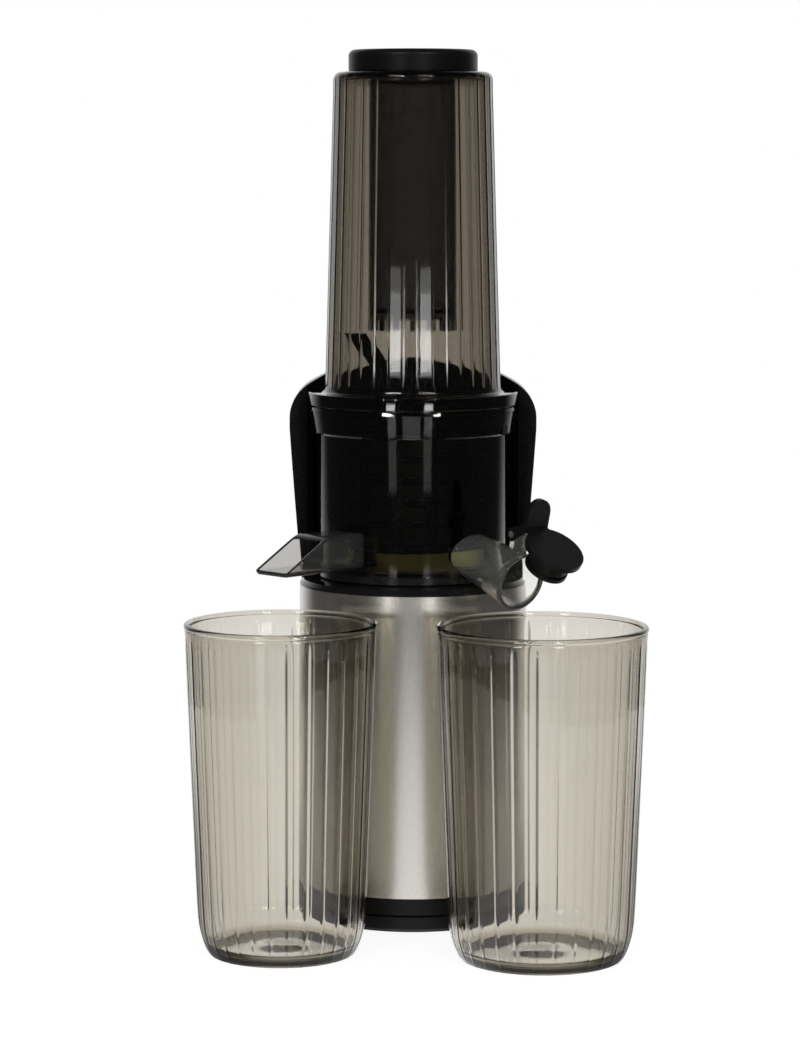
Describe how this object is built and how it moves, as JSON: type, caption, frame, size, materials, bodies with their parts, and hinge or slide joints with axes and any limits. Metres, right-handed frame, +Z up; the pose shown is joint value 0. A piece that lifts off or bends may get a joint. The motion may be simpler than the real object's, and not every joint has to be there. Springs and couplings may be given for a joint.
{
  "type": "cold press juicer",
  "caption": "Slim upright cold press juicer: round metal base, clear bowl with strainer and auger, tall clear hopper with pusher, capped juice spout, pulp chute and clear tumblers.",
  "frame": {"origin": "on the juicer's axis, at the surface it stands on", "axes": "+Z up along the auger's axis, -Y to the front where the cups stand, +X to the right, the spout's side"},
  "size_m": [0.2039, 0.2005, 0.399],
  "materials": {
    "satin_metal": "satin",
    "gloss_black": "gloss",
    "black": "satin",
    "auger_plastic": "satin",
    "strainer_plastic": "satin",
    "smoked_clear": "gloss",
    "cup_clear": "gloss",
    "cap_plastic": "satin",
    "seal_rubber": "matte",
    "black_rubber": "matte",
    "steel": "satin",
    "screen_metal": "satin",
    "motor_bell_metal": "cast",
    "core_steel": "matte",
    "copper": "satin",
    "gear_plastic": "satin",
    "board": "satin"
  },
  "bodies": {
    "base": {"base_ring": "black", "rubber_feet": "black_rubber", "bottom_cover": "black", "base_sleeve": "satin_metal", "base_housing": "black", "top_deck": "gloss_black", "tower_shell": "gloss_black", "tower_liner": "black", "interlock_sensor": "black", "tower_screws": "steel", "cover_screws": "steel", "motor_can": "steel", "motor_rear_bell": "motor_bell_metal", "motor_front_bell": "motor_bell_metal", "motor_bearings": "steel", "motor_stator": "core_steel", "motor_windings": "copper", "motor_plate": "steel", "motor_screws": "steel", "plate_screws": "steel", "gearbox_housing": "gear_plastic", "gearbox_cover": "black", "gearbox_screws": "steel", "output_bearing": "steel", "ring_gear_1": "gear_plastic", "ring_gear_2": "gear_plastic", "shaft_seal": "black_rubber", "control_board": "board", "power_inlet": "black", "switch_bezel": "black"},
    "rotor": {"rotor_core": "core_steel", "motor_shaft": "steel", "cooling_fan": "black"},
    "first_carrier": {"carrier_1": "steel", "sun_gear_2": "steel"},
    "drive": {"carrier_2": "steel", "drive_shaft": "steel"},
    "auger": {"auger": "auger_plastic"},
    "bowl": {"juicing_bowl": "smoked_clear", "bowl_base": "black", "bowl_seal_ring": "seal_rubber", "strainer_frame": "strainer_plastic", "strainer_screen": "screen_metal", "pulp_chute": "smoked_clear", "juice_spout": "smoked_clear", "cap_hinge_pin": "steel"},
    "spout_cap": {"spout_cap": "cap_plastic"},
    "hopper": {"hopper": "smoked_clear", "interlock_magnet": "steel"},
    "pusher": {"pusher_body": "smoked_clear", "pusher_cap": "gloss_black"},
    "switch_rocker": {"switch_rocker": "black"},
    "pulp_cup": {"pulp_cup": "cup_clear"},
    "juice_cup": {"juice_cup": "cup_clear"},
    "planet_gear_1_1": {"planet_gear_1_1": "gear_plastic"},
    "planet_gear_1_2": {"planet_gear_1_2": "gear_plastic"},
    "planet_gear_1_3": {"planet_gear_1_3": "gear_plastic"},
    "planet_gear_2_1": {"planet_gear_2_1": "gear_plastic"},
    "planet_gear_2_2": {"planet_gear_2_2": "gear_plastic"},
    "planet_gear_2_3": {"planet_gear_2_3": "gear_plastic"}
  },
  "joints": [
    {"name": "drive_spin", "type": "hinge", "parent": "base", "child": "drive", "pos_m": [0, 0, 0.14], "axis": [0, 0, 1], "continuous": true},
    {"name": "rotor_spin", "type": "hinge", "parent": "base", "child": "rotor", "pos_m": [0, 0, 0.055], "axis": [0, 0, 1], "continuous": true},
    {"name": "first_carrier_spin", "type": "hinge", "parent": "base", "child": "first_carrier", "pos_m": [0, 0, 0.108], "axis": [0, 0, 1], "continuous": true},
    {"name": "planet_gear_1_1_spin", "type": "hinge", "parent": "first_carrier", "child": "planet_gear_1_1", "pos_m": [0, 0.01875, 0.1], "axis": [0, 0, 1], "continuous": true},
    {"name": "planet_gear_1_2_spin", "type": "hinge", "parent": "first_carrier", "child": "planet_gear_1_2", "pos_m": [-0.01624, -0.00937, 0.1], "axis": [0, 0, 1], "continuous": true},
    {"name": "planet_gear_1_3_spin", "type": "hinge", "parent": "first_carrier", "child": "planet_gear_1_3", "pos_m": [0.01624, -0.00937, 0.1], "axis": [0, 0, 1], "continuous": true},
    {"name": "planet_gear_2_1_spin", "type": "hinge", "parent": "drive", "child": "planet_gear_2_1", "pos_m": [0, 0.01875, 0.1195], "axis": [0, 0, 1], "continuous": true},
    {"name": "planet_gear_2_2_spin", "type": "hinge", "parent": "drive", "child": "planet_gear_2_2", "pos_m": [-0.01624, -0.00937, 0.1195], "axis": [0, 0, 1], "continuous": true},
    {"name": "planet_gear_2_3_spin", "type": "hinge", "parent": "drive", "child": "planet_gear_2_3", "pos_m": [0.01624, -0.00937, 0.1195], "axis": [0, 0, 1], "continuous": true},
    {"name": "bowl_lift", "type": "slide", "parent": "base", "child": "bowl", "axis": [0, 0, 1], "range_m": [0, 0.04]},
    {"name": "auger_lift", "type": "slide", "parent": "drive", "child": "auger", "axis": [0, 0, 1], "range_m": [0, 0.04]},
    {"name": "hopper_twist", "type": "hinge", "parent": "bowl", "child": "hopper", "pos_m": [0, 0, 0.24], "axis": [0, 0, 1], "range_deg": [0, 20]},
    {"name": "pusher_slide", "type": "slide", "parent": "hopper", "child": "pusher", "axis": [0, 0, 1], "range_m": [0, 0.125]},
    {"name": "cap_hinge", "type": "hinge", "parent": "bowl", "child": "spout_cap", "pos_m": [0.04796, -0.05716, 0.18349], "axis": [-0.766, -0.6428, 0], "range_deg": [-69, 12]},
    {"name": "switch_rocker_tilt", "type": "hinge", "parent": "base", "child": "switch_rocker", "pos_m": [0, 0.05, 0.0655], "axis": [1, 0, 0], "range_deg": [-10, 10]},
    {"name": "pulp_cup_slide", "type": "slide", "parent": "base", "child": "pulp_cup", "axis": [0, -1, 0], "range_m": [0, 0.1]},
    {"name": "juice_cup_slide", "type": "slide", "parent": "base", "child": "juice_cup", "axis": [0, -1, 0], "range_m": [0, 0.1]}
  ],
  "couplings": [
    {"joint": "rotor_spin", "follows": "drive_spin", "ratio": 25},
    {"joint": "first_carrier_spin", "follows": "drive_spin", "ratio": 5},
    {"joint": "planet_gear_1_1_spin", "follows": "drive_spin", "ratio": -13.333},
    {"joint": "planet_gear_1_2_spin", "follows": "drive_spin", "ratio": -13.333},
    {"joint": "planet_gear_1_3_spin", "follows": "drive_spin", "ratio": -13.333},
    {"joint": "planet_gear_2_1_spin", "follows": "drive_spin", "ratio": -2.6667},
    {"joint": "planet_gear_2_2_spin", "follows": "drive_spin", "ratio": -2.6667},
    {"joint": "planet_gear_2_3_spin", "follows": "drive_spin", "ratio": -2.6667},
    {"joint": "auger_lift", "follows": "bowl_lift", "ratio": 1}
  ]
}
